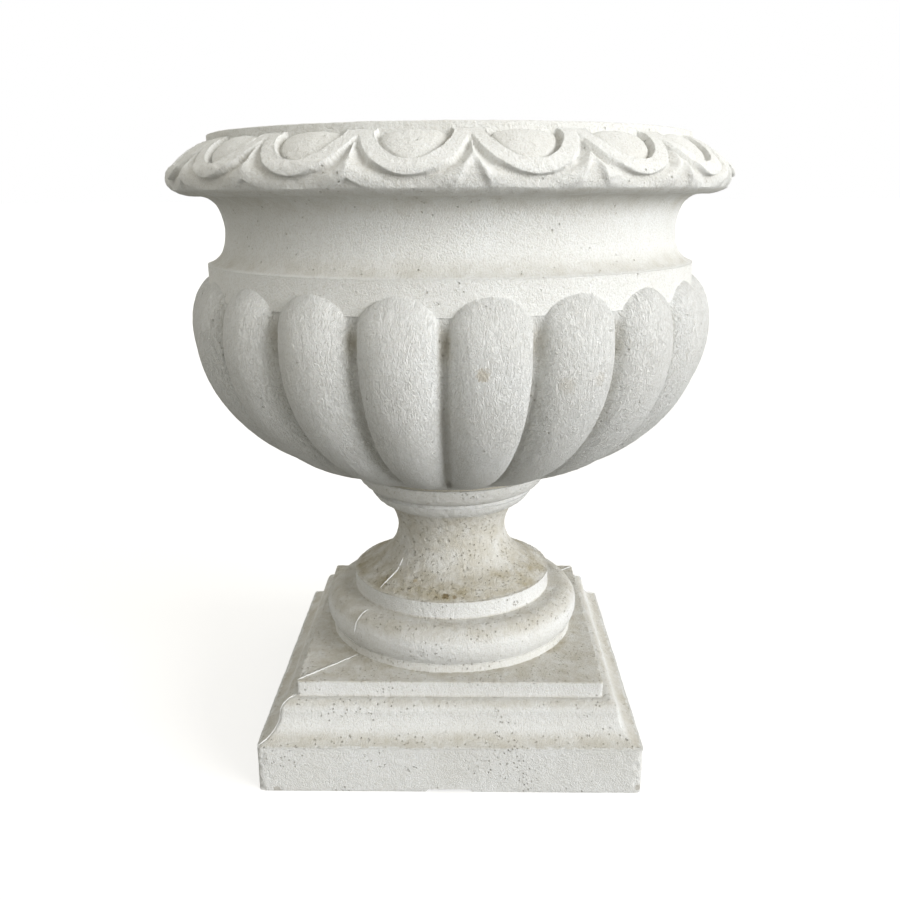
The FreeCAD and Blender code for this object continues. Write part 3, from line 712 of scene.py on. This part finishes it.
def square_grid(path, round_share, crispness, per_side):
    """Rows of (half width, z) swept round a square, or round a circle where the share is 1.

    The corners are rounder where a row's crispness is lower."""
    place = (np.arange(per_side) + 0.5) / per_side * 2 - 1
    power = crispness[:, None]
    corner = (1 + np.abs(place) ** power) ** (-1 / power)
    front = np.stack([place * corner, -corner], -1)
    sides = []
    for quarter in range(4):
        turn = Matrix.Rotation(-quarter * math.pi / 2, 2)
        sides.append(front @ np.array(turn))
    square = np.concatenate(sides, 1)
    circle = square / np.linalg.norm(square, axis=-1, keepdims=True)
    share = round_share[:, None, None]
    plan = (square * (1 - share) + circle * share) * path[:, 0, None, None]
    height = np.broadcast_to(path[:, 1, None, None], plan.shape[:2] + (1,))
    return np.concatenate([plan, height], -1)


def plinth_moulding():
    """The round shoulder under the cap and the hollow from there out to the slab's top."""
    return arc((CAP_HALF, CAP_FOOT), SHOULDER, -108.6), arc(SHOULDER, (SLAB_HALF, SLAB_TOP), 78.8)


def plinth_points():
    """The plinth's plain surface: one grid of points, and the outline that gives its rows."""
    ring = RING_RADIUS - 4
    shoulder, hollow = plinth_moulding()
    rounds = outline((line((ring, PLINTH_TOP), (CAP_HALF - EDGE_ROUND, PLINTH_TOP)), 2.4))[:-1]
    sides = outline(
        (line((CAP_HALF - EDGE_ROUND, PLINTH_TOP), (CAP_HALF, PLINTH_TOP - EDGE_ROUND)), 2),
        (line((CAP_HALF, PLINTH_TOP - EDGE_ROUND), (CAP_HALF, CAP_FOOT)), 2),
        (shoulder, 1.6),
        (hollow, 1.8),
        (line((SLAB_HALF, SLAB_TOP), (SLAB_HALF, EDGE_ROUND)), 2.4),
        (line((SLAB_HALF, EDGE_ROUND), (SLAB_HALF - EDGE_ROUND, 0)), 2),
        (line((SLAB_HALF - EDGE_ROUND, 0), (CORE_HALF, 0)), 5),
        (line((CORE_HALF, 0), CORE_TOP), 5),
        (line(CORE_TOP, (DRAIN_RADIUS, CORE_TOP[1])), 8),
    )
    share = np.append(1 - fade(rounds[:, 0], ring, CAP_HALF - EDGE_ROUND), np.zeros(len(sides)))
    path = np.concatenate([rounds, sides])
    crispness = np.where(path[:, 1] > SLAB_TOP + 1, 120, 75)
    return square_grid(path, share, crispness, 190), path


def pedestal_plinth(material):
    """The square plinth with its cap, shoulder, hollow and slab, and the hollow core underneath."""
    plain, path = plinth_points()
    half, level = path[:, 0, None], path[:, 1, None]
    points = weathered(plain, swell=1.0, grain=0.8, seed=51)
    outer = (points[..., 2] > 2) & (np.abs(points[..., :2]).max(-1) > CAP_HALF - 4)
    points = pitted(points, count=90, radius=2.2, depth=1.3, seed=53, keep=outer)
    corner = np.abs(plain[..., :2]).min(-1) > 0.96 * half
    slab_side = (level < SLAB_TOP + 1) & (level > -1) & (half > SLAB_HALF - 5)
    points = pitted(points, count=60, radius=4.2, depth=1.6, seed=57, keep=corner & slab_side)

    low = np.broadcast_to(level < NOTCH_HEIGHT, points.shape[:2])
    underside = low & (half > CORE_HALF - 2)
    points[..., 2] = np.where(underside, np.maximum(level, 0), points[..., 2])
    notch = np.minimum(np.abs(points[..., 0]), np.abs(points[..., 1])) < NOTCH_HALF
    points[..., 2] = np.where(notch & low, NOTCH_HEIGHT, points[..., 2])

    height = points[..., 2]
    wide = np.linalg.norm(points[..., :2], axis=-1)
    # The plinth's top, under the bowl, is darker by dirt and painted shade; the corner round the torus and
    # the band under the cap are darker by painted shade, and the hollow's foot above the slab is darker.
    top = fade(height, PLINTH_TOP - 3, PLINTH_TOP)
    round_torus = top * fade(wide, RING_RADIUS + 8, RING_RADIUS + 2)
    under_cap = fade(height, CAP_FOOT + 1.5, CAP_FOOT - 1.5) * fade(height, SHOULDER[1] + 3, CAP_FOOT - 0.5)
    on_slab = fade(height, SLAB_TOP + 13, SLAB_TOP + 3) * (height > SLAB_TOP)
    dirt_and_shade = 0.02 + 0.7 * top + 0.3 * round_torus + 0.45 * under_cap + 0.5 * on_slab
    return skin("pedestal_plinth", "pedestal", points, points, dirt_and_shade, material)


def seam(name, points, thickness, material):
    """A thin uneven fin of stone left where two parts of the mould met."""
    draw = np.random.default_rng(len(points))
    data = bpy.data.curves.new(name, "CURVE")
    data.dimensions = "3D"
    data.bevel_depth = thickness * MM
    data.bevel_resolution = 2
    spline = data.splines.new("POLY")
    spline.points.add(len(points) - 1)
    order = np.arange(len(points))
    taper = np.minimum(order, order[::-1]) / 3
    for knot, place, share in zip(spline.points, points, taper):
        knot.co = (*(Vector(place) + Vector(draw.normal(0, 0.12, 3))) * MM, 1)
        knot.radius = min(1, share) * draw.uniform(0.55, 1.15)
    data.materials.append(material)
    piece = bpy.data.objects.new(name, data)
    bpy.context.collection.objects.link(piece)
    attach(piece, "root")


def seams(material):
    """The mould seam that runs down the pedestal towards two opposite corners of its plinth."""
    diagonal = math.sqrt(2)
    flare = outline((line((77, 206), THROAT), 2), (line(THROAT, FLARE_FOOT), 2))
    over = outline((arc(TORUS_CROWN, TORUS_FOOT, -180), 2))
    top = outline((line((RING_RADIUS + 2, PLINTH_TOP), (CAP_HALF * diagonal - 2, PLINTH_TOP)), 2.5))
    shoulder, hollow = plinth_moulding()
    moulding = outline((shoulder, 2), (hollow, 2))
    runs = {
        "flare": flare,
        "torus": over[: len(over) // 2 + 3],
        "top": top,
        "corner": moulding * (diagonal, 1) - (2.4, 0),
    }
    for side, theta in (("front", -45.5), ("back", 134.5)):
        for part, path in runs.items():
            points = swept(path[:, 0] - 0.35, path[:, 1] - 0.3, theta + 0 * path[:, 0])
            seam(f"seam_{part}_{side}", points, 0.8, material)


# ---------------------------------------------------------------- studio

def camera():
    """Stands a little above the rim's foot, in front of the plinth, and looks down past the rim."""
    data = bpy.data.cameras.new("camera")
    data.lens = 37.871
    data.sensor_width = 36
    eye = bpy.data.objects.new("camera", data)
    eye.location = Vector((20.5, -1070.5, 610.7)) * MM
    aim = Euler((math.radians(74.744), 0, math.radians(1.17))).to_matrix()
    roll = Matrix.Rotation(math.radians(-0.336), 3, "Z")
    eye.rotation_euler = (aim @ roll).to_euler()
    bpy.context.collection.objects.link(eye)
    bpy.context.scene.camera = eye


def key_light():
    """A broad soft light from the right of the camera."""
    data = bpy.data.lights.new("key", "SUN")
    data.energy = 3.8
    data.angle = math.radians(42)
    light = bpy.data.objects.new("key", data)
    turn, rise = math.radians(56), math.radians(10)
    towards = Vector((math.sin(turn) * math.cos(rise), -math.cos(turn) * math.cos(rise), math.sin(rise)))
    light.location = towards * 3
    light.rotation_euler = (-towards).to_track_quat("-Z", "Y").to_euler()
    bpy.context.collection.objects.link(light)


def floor_finish():
    """A floor that the camera sees as white with a light shadow, and that throws little light back."""
    material = bpy.data.materials.new("floor_white")
    material.use_nodes = True
    tree = material.node_tree
    seen_shade = tree.nodes["Principled BSDF"]
    seen_shade.inputs["Base Color"].default_value = (0.5, 0.5, 0.5, 1)
    seen_shade.inputs["Roughness"].default_value = 1
    seen_white = tree.nodes.new("ShaderNodeEmission")
    seen_white.inputs["Strength"].default_value = 0.62
    seen = tree.nodes.new("ShaderNodeAddShader")
    tree.links.new(seen_shade.outputs["BSDF"], seen.inputs[0])
    tree.links.new(seen_white.outputs["Emission"], seen.inputs[1])
    plain = tree.nodes.new("ShaderNodeBsdfDiffuse")
    plain.inputs["Color"].default_value = (0.3, 0.3, 0.29, 1)
    ray = tree.nodes.new("ShaderNodeLightPath")
    pick = tree.nodes.new("ShaderNodeMixShader")
    tree.links.new(ray.outputs["Is Camera Ray"], pick.inputs["Fac"])
    tree.links.new(plain.outputs["BSDF"], pick.inputs[1])
    tree.links.new(seen.outputs["Shader"], pick.inputs[2])
    tree.links.new(pick.outputs["Shader"], tree.nodes["Material Output"].inputs["Surface"])
    return material


def floor():
    """A square floor, 120 metres across."""
    mesh = bpy.data.meshes.new("floor")
    reach = 60
    corners = [(-reach, -reach, 0), (reach, -reach, 0), (reach, reach, 0), (-reach, reach, 0)]
    mesh.from_pydata(corners, [], [(0, 1, 2, 3)])
    mesh.materials.append(floor_finish())
    ground = bpy.data.objects.new("floor", mesh)
    bpy.context.collection.objects.link(ground)


def world():
    """Even light from all round, which the camera sees as white."""
    sky = bpy.data.worlds.new("studio")
    bpy.context.scene.world = sky
    sky.use_nodes = True
    tree = sky.node_tree
    soft = tree.nodes["Background"]
    soft.inputs["Color"].default_value = (1, 0.97, 0.88, 1)
    soft.inputs["Strength"].default_value = 0.76
    white = tree.nodes.new("ShaderNodeBackground")
    white.inputs["Color"].default_value = (1, 1, 1, 1)
    white.inputs["Strength"].default_value = 1.0
    seen = tree.nodes.new("ShaderNodeLightPath")
    mix = tree.nodes.new("ShaderNodeMixShader")
    tree.links.new(seen.outputs["Is Camera Ray"], mix.inputs["Fac"])
    tree.links.new(soft.outputs["Background"], mix.inputs[1])
    tree.links.new(white.outputs["Background"], mix.inputs[2])
    tree.links.new(mix.outputs["Shader"], tree.nodes["World Output"].inputs["Surface"])


def finish_inside(node, material):
    """Gives a CAD node that keeps its own shape a new material."""
    mesh = frame["nodes"][node].data
    mesh.materials.clear()
    mesh.materials.append(material)


# Each stain is a centre, a radius, a colour and the share of it that shows.
bowl_stains = (
    ((33, -281, 460), 9, TAN, 0.5),
    ((107, -260, 445), 14, TAN, 0.2),
    ((138, -245, 450), 9, TAN, 0.18),
)
pedestal_stains = (
    ((-5, -107, 181), 6, BROWN, 0.9),
    ((5, -108, 180), 4, BROWN, 0.7),
    ((-40, -82, 189), 4, TAN, 0.8),
    ((-182, -203, 1), 7, BROWN, 0.35),
    ((198, -201, 6), 5, BROWN, 0.4),
)
short_strokes = (560, 560, 480)
long_strokes = (620, 620, 190)
bowl_stone = stone(
    "bowl_stone_look", BOWL_PALE, BOWL_WORN, bowl_stains,
    strokes=short_strokes, bend=0.6, stroke_relief=1.3, hole_spacing=9, hole_radius=1.2,
)
lobe_stone = stone(
    "lobe_stone_look", BOWL_PALE, BOWL_WORN, bowl_stains,
    strokes=long_strokes, bend=1.6, stroke_relief=3.0, hole_spacing=9, hole_radius=1.2,
)
base_stone = stone(
    "base_stone_look", BASE_PALE_SHADED, BASE_WORN_SHADED, pedestal_stains,
    strokes=short_strokes, bend=0.6, stroke_relief=1.0, hole_spacing=5, hole_radius=1.1,
)

for build in (bowl_rim, bowl_neck, bowl_well):
    build(bowl_stone)
bowl_lobes(lobe_stone)
for build in (pedestal_stem, pedestal_plinth):
    build(base_stone)
seams(base_stone)

finish_inside("mortar_bed", mortar())
finish_inside("drain_pipe", plastic())
bar_finish = steel()
for bar in ("rim_hoop", "belly_hoop", "stem_bars", "plinth_bars"):
    finish_inside(bar, bar_finish)

floor()
world()
camera()
key_light()

bpy.context.scene.view_settings.view_transform = "Standard"
